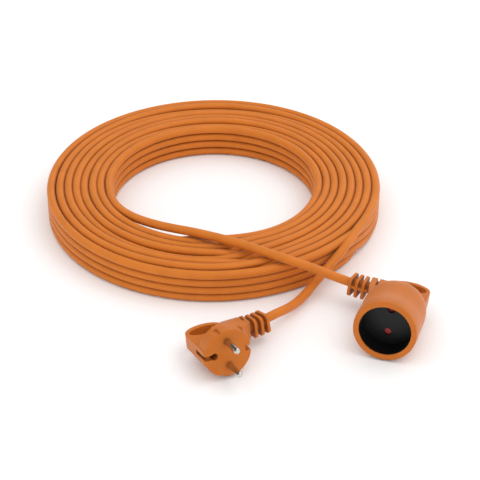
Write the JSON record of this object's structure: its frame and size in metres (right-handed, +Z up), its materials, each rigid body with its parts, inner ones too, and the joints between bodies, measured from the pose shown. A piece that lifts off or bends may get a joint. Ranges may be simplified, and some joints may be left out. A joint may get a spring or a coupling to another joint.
{
  "type": "extension cord",
  "caption": "Coiled extension cord with an angled two-pin earthed plug and a straight shuttered coupler socket, each with a finger ring for pulling it out.",
  "frame": {"origin": "middle of the part's footprint, on the floor it lies on", "axes": "+Z is up, away from the floor; +Y points from the plug and socket toward the coil, the part's longest extent; +X completes the right-handed frame"},
  "size_m": [0.31, 0.3914, 0.0484],
  "materials": {
    "cord_orange": "matte rubber jacket, orange",
    "shell_orange": "moulded matte plastic, orange",
    "relief_orange": "moulded matte rubber, orange",
    "cup_black": "matte black liner",
    "carrier_black": "matte black moulding",
    "shutter_red": "red moulding",
    "pin_nickel": "bright nickel plate",
    "spring_steel": "plain steel wire and rod",
    "contact_brass": "stamped brass",
    "core_brown": "brown insulation",
    "core_blue": "blue insulation",
    "core_earth": "green and yellow insulation"
  },
  "bodies": {
    "cord_set": {"cord_coil": "cord_orange", "plug_bridge": "carrier_black", "plug_core_blue": "core_blue", "plug_core_brown": "core_brown", "plug_core_earth": "core_earth", "plug_crimp_earth": "contact_brass", "plug_crimp_lower": "contact_brass", "plug_crimp_upper": "contact_brass", "plug_earth_sleeve": "contact_brass", "plug_earth_strap": "contact_brass", "plug_jacket_end": "cord_orange", "plug_lead": "cord_orange", "plug_pin_lower": "pin_nickel", "plug_pin_upper": "pin_nickel", "plug_shell": "shell_orange", "plug_strain_relief": "relief_orange", "socket_carrier": "carrier_black", "socket_contact_lower": "contact_brass", "socket_contact_upper": "contact_brass", "socket_core_blue": "core_blue", "socket_core_brown": "core_brown", "socket_core_earth": "core_earth", "socket_crimp_earth": "contact_brass", "socket_crimp_lower": "contact_brass", "socket_crimp_upper": "contact_brass", "socket_cup": "cup_black", "socket_earth_strap": "contact_brass", "socket_jacket_end": "cord_orange", "socket_lead": "cord_orange", "socket_shell": "shell_orange", "socket_shutter_post": "spring_steel", "socket_shutter_spring": "spring_steel", "socket_strain_relief": "relief_orange"},
    "shutter": {"socket_shutter": "shutter_red"}
  },
  "joints": [
    {"name": "shutter_turn", "type": "hinge", "parent": "cord_set", "child": "shutter", "pos_m": [0.12112, -0.13573, 0.02176], "axis": [-0.2975, -0.9435, 0.1461], "range_deg": [0, 45], "stiffness_Nm_per_rad": 0.002, "springref_deg": -11.46}
  ]
}
